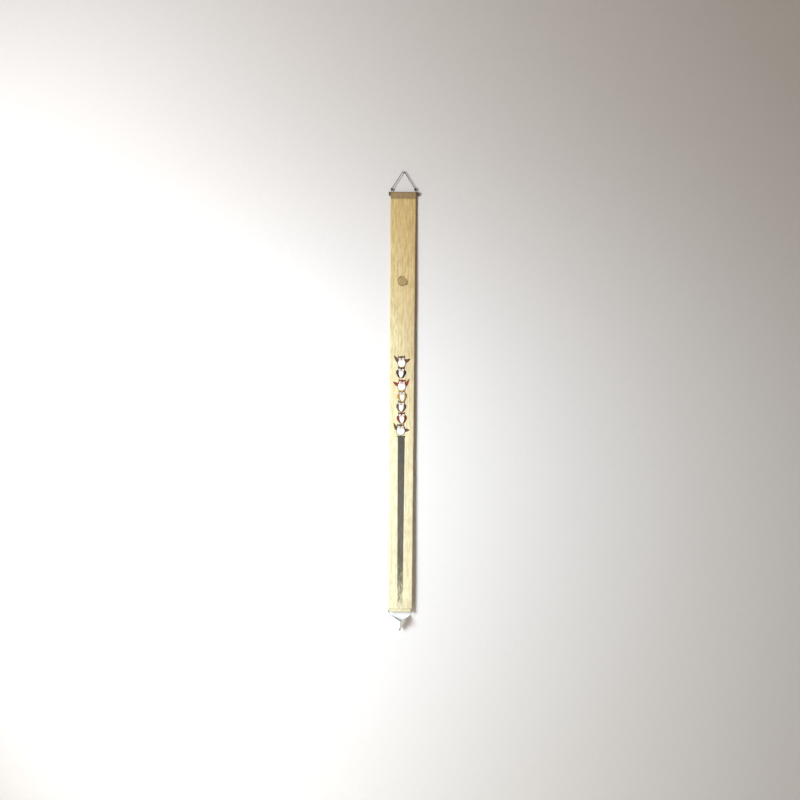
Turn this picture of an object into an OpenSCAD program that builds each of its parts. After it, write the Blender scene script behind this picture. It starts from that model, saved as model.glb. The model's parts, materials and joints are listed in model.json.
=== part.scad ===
// Narrow linen wall hanging on a round rod. A cord triangle holds it up at the origin,
// and a hollow pointed ceramic weight hangs on two link cords under its hem.
// +Z is up and the front faces -Y. Millimetres.

/* [Cloth] */
// Width of the linen strip
cloth_w = 100; // [80:1:140]
// Finished length, from the top of the rod casing to the bottom hem
cloth_l = 1700; // [1300:10:2100]
// Thickness of the linen
cloth_t = 1.2; // [0.8:0.1:1.6]
// Height of the top casing, down to its seam
top_casing_h = 24; // [22:0.5:34]
// Height of the bottom casing, up to its seam
bottom_casing_h = 12; // [11:0.5:18]
// How far the bottom casing stops short of each edge of the cloth
casing_set_in = 6; // [5:0.5:8]
// Distance from the top of the casing to the line where the lower part folds up
fold_drop = 1084; // [800:2:1200]

/* [Stitching] */
// Length of one stitch
stitch_l = 3; // [2:0.5:5]
// Distance from one stitch to the next
stitch_pitch = 5; // [4:0.5:8]
// Height and thickness of the thread
stitch_t = 0.6; // [0.4:0.1:0.8]

/* [Top rod] */
// Radius of the rod inside its casing
rod_r = 6.5; // [5:0.1:8]
// Radius of the turned knob at each end
knob_r = 7.5; // [6:0.1:9]
// Length of each knob
knob_l = 7; // [5:0.5:14]
// Chamfer on the outer edge of a knob
knob_chamfer = 0.8; // [0.4:0.1:1.5]

/* [Screw eyes] */
// Distance from the edge of the cloth to each screw eye
eye_inset = 4; // [3:0.5:20]
// Radius of the wire
eye_wire_r = 0.7; // [0.6:0.05:0.9]
// Clear radius of the ring
eye_hole_r = 2.2; // [2.2:0.1:3]
// Radius of the shank
eye_shank_r = 0.9; // [0.8:0.05:1.2]
// Depth of the shank in the rod
eye_depth = 9; // [6:0.5:11]

/* [Hanging cord] */
// Distance from the nail down to the top of the casing
hang_drop = 76; // [70:1:90]
// Diameter of the cord
cord_d = 2.4; // [2:0.1:3]
// Diameter of the cord where it is drawn tight round a screw eye
cord_tight_d = 2; // [1.6:0.1:2]
// Width of each knot
knot_w = 8; // [7:0.5:10]
// Height of each knot
knot_h = 5.6; // [5:0.2:8]

/* [Bottom rod] */
// Radius of the bottom rod
bottom_rod_r = 3; // [2.5:0.1:4]
// Depth of the groove that a link cord sits in
groove_depth = 0.5; // [0.3:0.1:0.8]
// Width of that groove
groove_w = 2.4; // [2.2:0.1:3]
// Distance from the end of the rod to the middle of the groove
groove_inset = 3.4; // [2.5:0.1:4]

/* [Link cords] */
// Diameter of a link cord
link_d = 1.5; // [1.2:0.1:1.6]
// Diameter of its knots
link_knot_d = 4; // [3.6:0.1:5]
// Clear distance from a stop knot to the hole it rests behind
stop_slack = 1.8; // [1.6:0.1:4]

/* [Weight] */
// Gap between the bottom hem and the rim
hem_gap = 22; // [18:1:30]
// Width of the rim along the back
rim_w = 93; // [80:1:110]
// Depth of the rim, from the back edge to the front corner
rim_d = 63; // [54:1:80]
// Height of the ceramic shell
shell_h = 48; // [40:1:70]
// Width of the small flat foot along its back
foot_w = 14; // [13:0.5:18]
// Wall of the shell
wall = 3; // [2.5:0.1:3.6]
// Height of the solid ceramic above the foot
foot_t = 12; // [10:0.5:14]
// Distance from the rim down to the two cord holes
hole_drop = 7; // [6:0.5:9]
// Radius of the cord holes
hole_r = 1.7; // [1.5:0.1:2]

/* [Steel point] */
// Radius of the point where it meets the foot
point_r = 3.5; // [3:0.1:3.7]
// Length of the point
point_l = 13; // [9:0.5:20]
// Length of its straight collar
collar_l = 1.5; // [1:0.5:3]
// Radius of its rounded nose
nose_r = 0.8; // [0.6:0.1:1.2]
// Radius of the stud that holds it
stud_r = 1.5; // [1.2:0.1:1.6]
// Width of the nut across its flats
nut_w = 5.5; // [5:0.1:6]
// Height of the nut
nut_h = 2.4; // [2:0.1:3]

/* [Hidden] */
$fn = 64;

// Fits
casing_gap = 0.3;
knob_gap = 0.4;
moving_gap = 0.3;
shank_gap = 0.05;
stud_gap = 0.2;
nut_gap = 0.1;
joint_gap = 0.4;
knot_gap = 0.5;
cut = 1;

// Left is -1 and right is 1
LEFT = -1;
RIGHT = 1;

// Sides of a cord's tube, and of a knot
tube_sides = 8;
knot_sides = 24;
nose_steps = 5;

// Heights that follow from the sizes, all measured from the nail
rod_z = -hang_drop - cloth_t - casing_gap - rod_r;
seam_z = -hang_drop - top_casing_h;
fold_z = -hang_drop - fold_drop;
hem_z = -hang_drop - cloth_l;
bottom_seam_z = hem_z + bottom_casing_h;
bottom_rod_z = hem_z + cloth_t + casing_gap + bottom_rod_r;
rim_z = hem_z - hem_gap;
foot_z = rim_z - shell_h;
floor_z = foot_z + foot_t;
hole_z = rim_z - hole_drop;

// Screw eyes and the hanging cord's knots
eye_x = cloth_w / 2 - eye_inset;
eye_ring_r = eye_hole_r + eye_wire_r;
eye_z = -hang_drop + moving_gap + eye_ring_r + eye_wire_r;
eye_loop_r = eye_wire_r + moving_gap + cord_tight_d / 2;
eye_loop_z = eye_z + eye_ring_r;
knot_z = eye_loop_z + eye_wire_r + knot_gap + knot_h / 2;

// Link cords
groove_r = bottom_rod_r - groove_depth;
groove_x = cloth_w / 2 - groove_inset;
link_loop_r = groove_r + moving_gap + link_d / 2;
link_knot_z = bottom_rod_z - bottom_rod_r - knot_gap - link_knot_d / 2;

// The weight's plan is a triangle with its centroid on the axis, scaled by height
rim_points = [[-rim_w / 2, rim_d / 3], [rim_w / 2, rim_d / 3], [0, -2 * rim_d / 3]];
foot_scale = foot_w / rim_w;
wall_scale = wall / (rim_d / 3);
function outer_scale(z) = foot_scale + (1 - foot_scale) * (z - foot_z) / shell_h;
function inner_scale(z) = outer_scale(z) - wall_scale;
// Half width of that triangle in the plane of the cord holes
function side_x(scale) = scale * rim_w / 3;
stop_x = side_x(inner_scale(hole_z)) - link_knot_d / 2 - stop_slack;

// Centre line of the left half of the hanging cord, from its knot to the nail
cord_half = [
    [-46, 0, -65], [-40.5, 0, -56.6], [-35.1, 0, -48.3], [-29.6, 0, -39.9],
    [-24.1, 0, -31.5], [-18.6, 0, -23.2], [-13.2, 0, -14.8], [-8.8, 0, -8.1],
    [-4.2, 0, -1.1], [-3.1, 0, 0.1], [-1.6, 0, 0.9]];
cord_top = [0, 0, 1.2];
// Centre line of the right link cord, from the knot under the rod to the stop knot
link_route = [
    [46.6, 0, -1777], [45, 0, -1781], [42.5, 0, -1787], [40, 0, -1793],
    [38, 0, -1798], [36.3, 0, -1801.5], [34, 0, -1804], [31, 0, -1805],
    [27, 0, -1805], [23, 0, -1805], [19, 0, -1805]];

function mirrored(route) = [for (p = route) [-p[0], p[1], p[2]]];
function reversed(route) = [for (i = [len(route) - 1 : -1 : 0]) route[i]];
function tangent(route, i) =
    let (step = route[min(i + 1, len(route) - 1)] - route[max(i - 1, 0)])
    step / norm(step);
// Points of the tube's ring at one place on a route in the XZ plane
function tube_ring(route, i, r) =
    let (across = [0, 1, 0], up = cross(tangent(route, i), across))
    [for (s = [0 : tube_sides - 1])
        let (a = 360 * s / tube_sides)
        route[i] + r * (cos(a) * across + sin(a) * up)];

// A round tube along a route
module tube(route, r) {
    last = len(route) - 1;
    points = [for (i = [0 : last]) each tube_ring(route, i, r)];
    sides = [for (i = [0 : last - 1]) for (s = [0 : tube_sides - 1])
        let (a = i * tube_sides + s, b = i * tube_sides + (s + 1) % tube_sides)
        each [[a, b, b + tube_sides], [a, b + tube_sides, a + tube_sides]]];
    start = [for (s = [tube_sides - 1 : -1 : 0]) s];
    end = [for (s = [0 : tube_sides - 1]) last * tube_sides + s];
    polyhedron(points, concat([start], sides, [end]));
}

// A plan drawn as Y against Z, drawn out along X and centred
module along_x(length) {
    rotate([90, 0, 90]) linear_extrude(length, center = true) children();
}

// A turned piece along X from a half profile of radius against length
module turned_x(profile) {
    rotate([0, 90, 0]) rotate_extrude() polygon(profile);
}

module torus(ring_r, wire_r) {
    rotate_extrude() translate([ring_r, 0]) circle(wire_r);
}

// A cloth tunnel round a rod, with a flat two-layer tail that rises to tail from its axis
module casing(length, bore_r, tail) {
    outer_r = bore_r + cloth_t;
    shoulder = [0.75 * outer_r, 0.55 * outer_r];
    neck = (outer_r + tail) / 2;
    along_x(length) difference() {
        union() {
            circle(outer_r);
            polygon([
                [-shoulder[0], shoulder[1]], [shoulder[0], shoulder[1]],
                [cloth_t, neck], [cloth_t, tail], [-cloth_t, tail], [-cloth_t, neck]]);
        }
        circle(bore_r);
    }
}

// Rows of thread on both faces of a casing's tail
module stitches(length, z) {
    count = floor((length - stitch_l) / stitch_pitch);
    for (i = [0 : count]) for (face = [-1, 1])
        translate([(i - count / 2) * stitch_pitch, face * (cloth_t + stitch_t / 2), z])
            cube([stitch_l, stitch_t, stitch_t], center = true);
}

module hanging_cord() {
    color("#26231f")
        tube(concat(cord_half, [cord_top], reversed(mirrored(cord_half))), cord_d / 2);
}

// The cord's loop through a screw eye, and the knot above it
module cord_knot(side) {
    color("#1d1a17") translate([side * eye_x, 0, 0]) {
        translate([0, 0, eye_loop_z]) rotate([90, 0, 0]) torus(eye_loop_r, cord_tight_d / 2);
        translate([0, 0, knot_z]) scale([knot_w, knot_w, knot_h] / knot_h)
            sphere(d = knot_h, $fn = knot_sides);
    }
}
module cord_knot_left() { cord_knot(LEFT); }
module cord_knot_right() { cord_knot(RIGHT); }

module top_rod() {
    knob_x = cloth_w / 2 + knob_gap;
    end_x = knob_x + knob_l;
    half = [[knob_r - knob_chamfer, end_x], [knob_r, end_x - knob_chamfer],
        [knob_r, knob_x], [rod_r, knob_x]];
    color("#6e614a") difference() {
        translate([0, 0, rod_z]) turned_x(concat([[0, end_x]], half,
            [for (i = [len(half) - 1 : -1 : 0]) [half[i][0], -half[i][1]]], [[0, -end_x]]));
        for (side = [LEFT, RIGHT])
            translate([side * eye_x, 0, rod_z + rod_r - eye_depth])
                cylinder(h = eye_depth + cut, r = eye_shank_r + shank_gap);
    }
}

// A wire ring that faces along the rod, on a shank that goes down into it
module screw_eye(side) {
    shank_foot_z = rod_z + rod_r - eye_depth;
    color("#3b3833") translate([side * eye_x, 0, 0]) {
        translate([0, 0, eye_z]) rotate([0, 90, 0]) torus(eye_ring_r, eye_wire_r);
        translate([0, 0, shank_foot_z])
            cylinder(h = eye_z - eye_ring_r - shank_foot_z, r = eye_shank_r);
    }
}
module screw_eye_left() { screw_eye(LEFT); }
module screw_eye_right() { screw_eye(RIGHT); }

module top_casing() {
    color("#a98e64") difference() {
        translate([0, 0, rod_z]) rotate([180, 0, 0])
            casing(cloth_w, rod_r + casing_gap, rod_z - seam_z);
        for (side = [LEFT, RIGHT])
            translate([side * eye_x, 0, rod_z])
                cylinder(h = rod_r * 2, r = eye_shank_r + shank_gap);
    }
}

module top_casing_stitches() {
    color("#8a734e") stitches(cloth_w, seam_z + stitch_t * 2);
}

module cloth_panel(top_z, bottom_z) {
    color("#cdaf78") translate([-cloth_w / 2, -cloth_t / 2, bottom_z])
        cube([cloth_w, cloth_t, top_z - bottom_z]);
}
module cloth_upper() { cloth_panel(seam_z - joint_gap, fold_z + joint_gap / 2); }
module cloth_lower() { cloth_panel(fold_z - joint_gap / 2, bottom_seam_z); }

module bottom_casing() {
    color("#e8dfb8") translate([0, 0, bottom_rod_z])
        casing(cloth_w - 2 * casing_set_in, bottom_rod_r + casing_gap,
            bottom_seam_z - bottom_rod_z);
}

module bottom_casing_stitches() {
    color("#c9b98c")
        stitches(cloth_w - 2 * casing_set_in, bottom_seam_z - stitch_t);
}

// A plain rod with a shallow groove for a link cord near each end
module bottom_rod() {
    near = groove_x - groove_w / 2;
    far = groove_x + groove_w / 2;
    half = [[bottom_rod_r, cloth_w / 2], [bottom_rod_r, far], [groove_r, far],
        [groove_r, near], [bottom_rod_r, near]];
    color("#5a5046") translate([0, 0, bottom_rod_z])
        turned_x(concat([[0, cloth_w / 2]], half,
            [for (i = [len(half) - 1 : -1 : 0]) [half[i][0], -half[i][1]]],
            [[0, -cloth_w / 2]]));
}

// The link cord's loop round the bottom rod, and the knot under it
module link_loop(side) {
    color("#6b5d4a") translate([side * groove_x, 0, 0]) {
        translate([0, 0, bottom_rod_z]) rotate([0, 90, 0]) torus(link_loop_r, link_d / 2);
        translate([0, 0, link_knot_z]) sphere(d = link_knot_d);
    }
}
module link_loop_left() { link_loop(LEFT); }
module link_loop_right() { link_loop(RIGHT); }

module link_cord_left() { color("#857560") tube(mirrored(link_route), link_d / 2); }
module link_cord_right() { color("#857560") tube(link_route, link_d / 2); }

// The knot inside the weight that stops a link cord from pulling out
module link_stop(side) {
    color("#6b5d4a") translate([side * stop_x, 0, hole_z]) sphere(d = link_knot_d);
}
module link_stop_left() { link_stop(LEFT); }
module link_stop_right() { link_stop(RIGHT); }

// A three-sided block that widens upwards between two heights
module taper(low_z, low_scale, high_z, high_scale) {
    translate([0, 0, low_z])
        linear_extrude(high_z - low_z, scale = high_scale / low_scale)
            polygon(low_scale * rim_points);
}

module weight_shell() {
    color("#eef0f2") difference() {
        taper(foot_z, foot_scale, rim_z, 1);
        taper(floor_z, inner_scale(floor_z), rim_z + cut, inner_scale(rim_z + cut));
        translate([-rim_w / 2, 0, hole_z]) rotate([0, 90, 0]) cylinder(h = rim_w, r = hole_r);
        translate([0, 0, foot_z - cut])
            cylinder(h = foot_t + 2 * cut, r = stud_r + stud_gap);
    }
}

// A dark steel point that screws up against the foot
module steel_point() {
    cone_l = point_l - collar_l - nose_r;
    stud_top = foot_t + nut_h + cut;
    color("#4a4c4f") translate([0, 0, foot_z]) rotate_extrude() polygon(concat(
        [[0, stud_top], [stud_r, stud_top], [stud_r, 0], [point_r, 0], [point_r, -collar_l]],
        [for (i = [0 : nose_steps])
            let (a = 90 * i / nose_steps)
            [nose_r * cos(a), -collar_l - cone_l - nose_r * sin(a)]]));
}

module point_nut() {
    color("#8d8f92") translate([0, 0, floor_z]) difference() {
        cylinder(h = nut_h, d = nut_w / cos(30), $fn = 6);
        translate([0, 0, -cut]) cylinder(h = nut_h + 2 * cut, r = stud_r + nut_gap);
    }
}

hanging_cord();
cord_knot_left();
cord_knot_right();
top_rod();
screw_eye_left();
screw_eye_right();
top_casing();
top_casing_stitches();
cloth_upper();
cloth_lower();
bottom_casing();
bottom_casing_stitches();
bottom_rod();
link_loop_left();
link_loop_right();
link_cord_left();
link_cord_right();
link_stop_left();
link_stop_right();
weight_shell();
steel_point();
point_nut();
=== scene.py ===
"""A narrow linen wall hanging with a painted stack of birds and a pointed ceramic weight.

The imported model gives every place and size, and this script dresses it: woven cloth, twisted
cord, turned wood, glaze and brushed pigment. Lengths are in metres, +Z is up and the front
faces -Y.
"""

from __future__ import annotations

import json
import logging
import math
from collections.abc import Callable, Sequence
from dataclasses import dataclass
from enum import Enum

import bmesh
import bpy
from mathutils import Matrix, Vector, noise


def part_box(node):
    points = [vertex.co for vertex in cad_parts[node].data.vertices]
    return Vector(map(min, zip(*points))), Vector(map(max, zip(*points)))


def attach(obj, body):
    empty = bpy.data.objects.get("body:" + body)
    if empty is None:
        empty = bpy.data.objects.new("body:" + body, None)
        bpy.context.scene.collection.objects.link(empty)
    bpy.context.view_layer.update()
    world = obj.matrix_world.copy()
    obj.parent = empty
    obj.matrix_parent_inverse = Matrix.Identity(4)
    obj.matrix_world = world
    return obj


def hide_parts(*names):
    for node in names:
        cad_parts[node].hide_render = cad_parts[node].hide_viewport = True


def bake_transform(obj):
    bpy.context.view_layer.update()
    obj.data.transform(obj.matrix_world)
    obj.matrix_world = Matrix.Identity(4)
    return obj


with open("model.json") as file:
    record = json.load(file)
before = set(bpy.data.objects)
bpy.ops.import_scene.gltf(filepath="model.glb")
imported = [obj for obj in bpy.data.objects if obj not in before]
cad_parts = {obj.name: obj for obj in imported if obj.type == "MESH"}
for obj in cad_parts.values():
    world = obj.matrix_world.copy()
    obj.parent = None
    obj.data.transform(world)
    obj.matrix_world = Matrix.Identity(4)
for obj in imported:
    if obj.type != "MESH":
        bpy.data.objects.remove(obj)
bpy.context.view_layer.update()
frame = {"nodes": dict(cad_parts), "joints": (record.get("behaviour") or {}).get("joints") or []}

MM = 0.001
WEAVE_MAP = "weave"
LOG = logging.getLogger("wall_hanging")

Colour = tuple[float, float, float]
Point = tuple[float, float, float]
Spot = tuple[Vector, tuple[float, float]]
Outline = Callable[[float], tuple[float, float]]


class Body(Enum):
    """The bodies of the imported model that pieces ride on."""

    HANGER = "hanger"
    TOP_BAR = "top_bar"
    CLOTH_TOP = "cloth_top"
    CLOTH_BOTTOM = "cloth_bottom"
    HEM_ROD = "hem_rod"
    LINKS = "links"
    WEIGHT = "weight"


class Slot(Enum):
    """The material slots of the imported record."""

    BLACK_CORD = "black_cord"
    BLACK_STEEL = "black_steel"
    DARK_WOOD = "dark_wood"
    LINEN = "linen"
    THREAD = "thread"
    HEM_ROD = "bottom_rod_wood"
    TWINE = "twine"
    CERAMIC = "white_ceramic"
    DARK_STEEL = "dark_steel"
    NUT_STEEL = "nut_steel"
    PAINT = "paint"


class Side(Enum):
    """The two sides of the hanging, as the sign of X."""

    LEFT = -1
    RIGHT = 1

    @property
    def word(self) -> str:
        """The side's name in a piece's name."""
        return self.name.lower()


# --------------------------------------------------------------------------- shader maths


class Value:
    """A number in a material's node tree, with the arithmetic of numbers."""

    def __init__(self, graph: Graph, socket: bpy.types.NodeSocket) -> None:
        """Wraps one output socket of a graph's node."""
        self.graph = graph
        self.socket = socket

    def _with(self, operation: str, first: object, second: object) -> Value:
        """One Math node on two operands.

        Args:
            operation: What it does.
            first: The first operand, a value or a number.
            second: The second one.

        Returns:
            The node's value.
        """
        made = self.graph.node(
            "ShaderNodeMath", {"operation": operation}, {0: first, 1: second}
        )
        return Value(self.graph, made.outputs[0])

    def __add__(self, other: Value | float) -> Value:
        """Sum."""
        return self._with("ADD", self, other)

    __radd__ = __add__

    def __sub__(self, other: Value | float) -> Value:
        """Difference."""
        return self._with("SUBTRACT", self, other)

    def __rsub__(self, other: Value | float) -> Value:
        """Difference, from a number."""
        return self._with("SUBTRACT", other, self)

    def __mul__(self, other: Value | float) -> Value:
        """Product."""
        return self._with("MULTIPLY", self, other)

    __rmul__ = __mul__

    def __truediv__(self, other: Value | float) -> Value:
        """Quotient."""
        return self._with("DIVIDE", self, other)

    def __rtruediv__(self, other: Value | float) -> Value:
        """Quotient, of a number."""
        return self._with("DIVIDE", other, self)

    def sine(self) -> Value:
        """Sine of an angle in radians."""
        return self._with("SINE", self, 0.0)

    def clamped(self) -> Value:
        """The value held between 0 and 1."""
        return self._with("MAXIMUM", self._with("MINIMUM", self, 1.0), 0.0)

    def step(self, low: float, high: float) -> Value:
        """A smooth rise from 0 at low to 1 at high.

        Args:
            low: The value at which the rise starts.
            high: The value at which it ends.

        Returns:
            The rise, as a value from 0 to 1.
        """
        t = ((self - low) / (high - low)).clamped()
        return t * t * (3.0 - 2.0 * t)


class Graph:
    """The node tree of one material."""

    def __init__(self, name: str) -> None:
        """Starts a material with an empty tree and its output node.

        Args:
            name: The material's name.
        """
        self.material = bpy.data.materials.new(name)
        self.material.use_nodes = True
        self.tree = self.material.node_tree
        self.tree.nodes.clear()
        self.output = self.tree.nodes.new("ShaderNodeOutputMaterial")

    def node(
        self, kind: str, settings: dict[str, object], inputs: dict[str | int, object]
    ) -> bpy.types.Node:
        """Adds a node.

        Args:
            kind: The node's type.
            settings: Its own settings, such as an operation.
            inputs: Values or links of its sockets, by name or by number.

        Returns:
            The node.
        """
        made = self.tree.nodes.new(kind)
        for name, value in settings.items():
            setattr(made, name, value)
        for key, value in inputs.items():
            socket = made.inputs[key]
            if isinstance(value, Value):
                self.tree.links.new(value.socket, socket)
            elif isinstance(value, bpy.types.NodeSocket):
                self.tree.links.new(value, socket)
            else:
                socket.default_value = value
        return made

    def weave(self, scale: Point) -> bpy.types.NodeSocket:
        """The cloth's own coordinates in metres, times scale."""
        uv = self.node("ShaderNodeUVMap", {"uv_map": WEAVE_MAP}, {})
        return self.scaled(uv.outputs[0], scale)

    def place(self, scale: Point) -> bpy.types.NodeSocket:
        """Object coordinates in metres, times scale."""
        spot = self.node("ShaderNodeTexCoord", {}, {})
        return self.scaled(spot.outputs["Object"], scale)

    def scaled(
        self, vector: bpy.types.NodeSocket, scale: Point
    ) -> bpy.types.NodeSocket:
        """A vector multiplied part by part.

        Args:
            vector: The vector.
            scale: What its parts are multiplied by.

        Returns:
            The product's socket.
        """
        made = self.node(
            "ShaderNodeVectorMath", {"operation": "MULTIPLY"}, {0: vector, 1: scale}
        )
        return made.outputs[0]

    def parts(self, vector: bpy.types.NodeSocket) -> tuple[Value, Value, Value]:
        """A vector's X, Y and Z."""
        made = self.node("ShaderNodeSeparateXYZ", {}, {0: vector})
        return tuple(Value(self, socket) for socket in made.outputs)

    def noise(
        self, vector: bpy.types.NodeSocket, detail: float = 2.0, rough: float = 0.5
    ) -> Value:
        """Soft noise with cells one unit wide in the vector's own units.

        Args:
            vector: Where it is read.
            detail: How many finer layers it has.
            rough: How strong the finer layers are.

        Returns:
            The noise, about 0.5 on average.
        """
        made = self.node(
            "ShaderNodeTexNoise",
            {},
            {"Vector": vector, "Scale": 1.0, "Detail": detail, "Roughness": rough},
        )
        return Value(self, made.outputs[0])

    def mix(
        self, factor: Value | float, first: object, second: object
    ) -> bpy.types.NodeSocket:
        """A colour between two colours.

        Args:
            factor: 0 for the first colour, and 1 for the second.
            first: A colour or a colour's socket.
            second: The other one.

        Returns:
            The colour's socket.
        """
        first, second = (
            (*c, 1.0) if isinstance(c, tuple) else c for c in (first, second)
        )
        made = self.node(
            "ShaderNodeMix", {"data_type": "RGBA"}, {0: factor, 6: first, 7: second}
        )
        return made.outputs[2]

    def tinted(
        self, factor: Value | float, colour: object, tint: Colour
    ) -> bpy.types.NodeSocket:
        """A colour multiplied by a tint.

        Args:
            factor: How far it is tinted, from 0 to 1.
            colour: The colour's socket.
            tint: The tint.

        Returns:
            The tinted colour's socket.
        """
        made = self.node(
            "ShaderNodeMix",
            {"data_type": "RGBA", "blend_type": "MULTIPLY"},
            {0: factor, 6: colour, 7: (*tint, 1.0)},
        )
        return made.outputs[2]

    def bump(
        self, height: Value, distance: float, strength: float
    ) -> bpy.types.NodeSocket:
        """A normal from a height.

        Args:
            height: The height, from about 0 to 1.
            distance: What a height of 1 stands for, in metres.
            strength: How strongly it shows, from 0 to 1.

        Returns:
            The normal's socket.
        """
        made = self.node(
            "ShaderNodeBump",
            {},
            {"Height": height, "Distance": distance, "Strength": strength},
        )
        return made.outputs[0]

    def finish(self, **sockets: object) -> bpy.types.Material:
        """Ends the tree in one Principled shader.

        Args:
            sockets: Its sockets, with _ for a space in the name.

        Returns:
            The material.
        """
        inputs = {name.replace("_", " "): value for name, value in sockets.items()}
        for name in ("Base Color", "Emission Color"):
            value = inputs.get(name)
            if isinstance(value, tuple):
                inputs[name] = (*value, 1.0)
        made = self.node("ShaderNodeBsdfPrincipled", {}, inputs)
        self.tree.links.new(made.outputs[0], self.output.inputs[0])
        return self.material


# --------------------------------------------------------------------------- finishes


@dataclass(frozen=True)
class Linen:
    """Plain woven linen, with long slubs down the strip.

    The colour runs from the top of the strip to its paler bottom; the paler bottom is painted
    light, for the stronger light on the lower strip.
    """

    name: str
    top: Colour = (0.70, 0.52, 0.225)
    bottom: Colour = (0.88, 0.83, 0.55)
    # Painted shade: a darker, warmer tint over the right part of the strip, away from the light
    right_shade_tint: Colour = (0.98, 0.92, 0.88)
    thread: float = 0.9 * MM
    # Heights where the painted light starts and where it reaches its full paleness
    painted_light_from: float = 0.02
    painted_light_to: float = -1.36
    darker: Colour = (0.78, 0.74, 0.66)
    lighter: Colour = (1.18, 1.20, 1.28)
    lightest: float = 0.97

    def material(self) -> bpy.types.Material:
        """Builds the material.

        Returns:
            The material.
        """
        g = Graph(self.name)
        across, along, _ = g.parts(g.weave((1.0, 1.0, 1.0)))
        turn = math.pi / self.thread
        warp = g.noise(g.weave((1500.0, 13.0, 1.0)), 3.0, 0.6)
        weft = g.noise(g.weave((21.0, 1250.0, 1.0)), 2.0, 0.5)
        slub = g.noise(g.weave((330.0, 3.6, 1.0)), 3.0, 0.6)
        blotch = g.noise(g.weave((120.0, 22.0, 1.0)), 4.0, 0.65)
        # Painted light: the cloth's colour grows paler towards the bottom, where more light
        # falls on it
        pale = along.step(self.painted_light_from, self.painted_light_to)
        streak = (0.20 * warp + 0.10 * weft + 0.30 * slub + 0.40 * blotch).step(
            0.38, 0.62
        )
        dark_top, light_top = self._spread(self.top)
        dark_low, light_low = self._spread(self.bottom)
        colour = g.mix(
            pale, g.mix(streak, dark_top, light_top), g.mix(streak, dark_low, light_low)
        )
        # Painted shade: the strip's right part is tinted darker and warmer
        colour = g.tinted(across.step(-0.03, 0.05), colour, self.right_shade_tint)
        weave = (across * turn).sine() * (along * turn).sine()
        height = 0.3 * weave + 0.6 * warp + 0.5 * weft + 0.6 * slub
        return g.finish(
            Base_Color=colour,
            Roughness=0.93 - 0.12 * streak,
            Normal=g.bump(height, 0.22 * MM, 0.55),
            Sheen_Weight=0.18,
            Sheen_Roughness=0.5,
            Specular_IOR_Level=0.2,
        )

    def _spread(self, colour: Colour) -> tuple[Colour, Colour]:
        """The darkest and the lightest thread of a colour.

        Args:
            colour: The colour.

        Returns:
            The dark one and the light one.
        """
        dark = tuple(c * s for c, s in zip(colour, self.darker))
        light = tuple(min(self.lightest, c * s) for c, s in zip(colour, self.lighter))
        return dark, light


@dataclass(frozen=True)
class Yarn:
    """Twisted cord or thread, matte, with fine fibres."""

    name: str
    colour: Colour
    worn: Colour

    def material(self) -> bpy.types.Material:
        """Builds the material.

        Returns:
            The material.
        """
        g = Graph(self.name)
        fibre = g.noise(g.weave((2600.0, 900.0, 1.0)), 3.0, 0.65)
        blotch = g.noise(g.weave((300.0, 120.0, 1.0)), 2.0, 0.5)
        mask = (0.6 * fibre + 0.4 * blotch).step(0.40, 0.66)
        return g.finish(
            Base_Color=g.mix(mask, self.colour, self.worn),
            Roughness=0.9 - 0.15 * mask,
            Normal=g.bump(fibre, 0.12 * MM, 0.6),
            Sheen_Weight=0.08,
            Specular_IOR_Level=0.25,
        )


@dataclass(frozen=True)
class Timber:
    """Stained turned wood, with its grain along X."""

    name: str
    dark: Colour
    light: Colour

    def material(self) -> bpy.types.Material:
        """Builds the material.

        Returns:
            The material.
        """
        g = Graph(self.name)
        grain = g.noise(g.place((35.0, 900.0, 900.0)), 4.0, 0.6)
        pore = g.noise(g.place((160.0, 2600.0, 2600.0)), 2.0, 0.5)
        mask = grain.step(0.36, 0.66)
        return g.finish(
            Base_Color=g.mix(mask, self.dark, self.light),
            Roughness=0.62 - 0.2 * mask,
            Normal=g.bump(0.6 * grain + 0.4 * pore, 0.12 * MM, 0.5),
            Coat_Weight=0.15 * mask,
            Coat_Roughness=0.35,
        )


@dataclass(frozen=True)
class Steel:
    """Dark steel, finely brushed, with bright worn places."""

    name: str
    colour: Colour
    worn: Colour
    rough: float = 0.42

    def material(self) -> bpy.types.Material:
        """Builds the material.

        Returns:
            The material.
        """
        g = Graph(self.name)
        brushed = g.noise(g.place((900.0, 900.0, 5200.0)), 3.0, 0.6)
        patch = g.noise(g.place((420.0, 420.0, 420.0)), 3.0, 0.6)
        worn = patch.step(0.52, 0.72)
        return g.finish(
            Base_Color=g.mix(worn, self.colour, self.worn),
            Metallic=0.85 + 0.15 * worn,
            Roughness=self.rough + 0.25 * brushed - 0.12 * worn,
            Normal=g.bump(brushed, 0.03 * MM, 0.4),
        )


@dataclass(frozen=True)
class Glaze:
    """White glaze on a hand-formed clay body, faintly blue where it pools."""

    name: str
    white: Colour = (0.93, 0.94, 0.95)
    pooled: Colour = (0.84, 0.90, 0.96)
    speck: Colour = (0.42, 0.36, 0.30)

    def material(self) -> bpy.types.Material:
        """Builds the material.

        Returns:
            The material.
        """
        g = Graph(self.name)
        pool = g.noise(g.place((45.0, 45.0, 30.0)), 3.0, 0.55)
        fine = g.noise(g.place((1300.0, 1300.0, 1300.0)), 1.0, 0.5)
        wave = g.noise(g.place((110.0, 110.0, 110.0)), 2.0, 0.5)
        body = g.mix(pool.step(0.42, 0.72), self.white, self.pooled)
        return g.finish(
            Base_Color=g.mix(0.8 * fine.step(0.74, 0.80), body, self.speck),
            Roughness=0.2 + 0.2 * pool,
            Normal=g.bump(wave, 0.5 * MM, 0.3),
            Coat_Weight=0.6 + 0.3 * pool,
            Coat_Roughness=0.12,
        )


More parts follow.
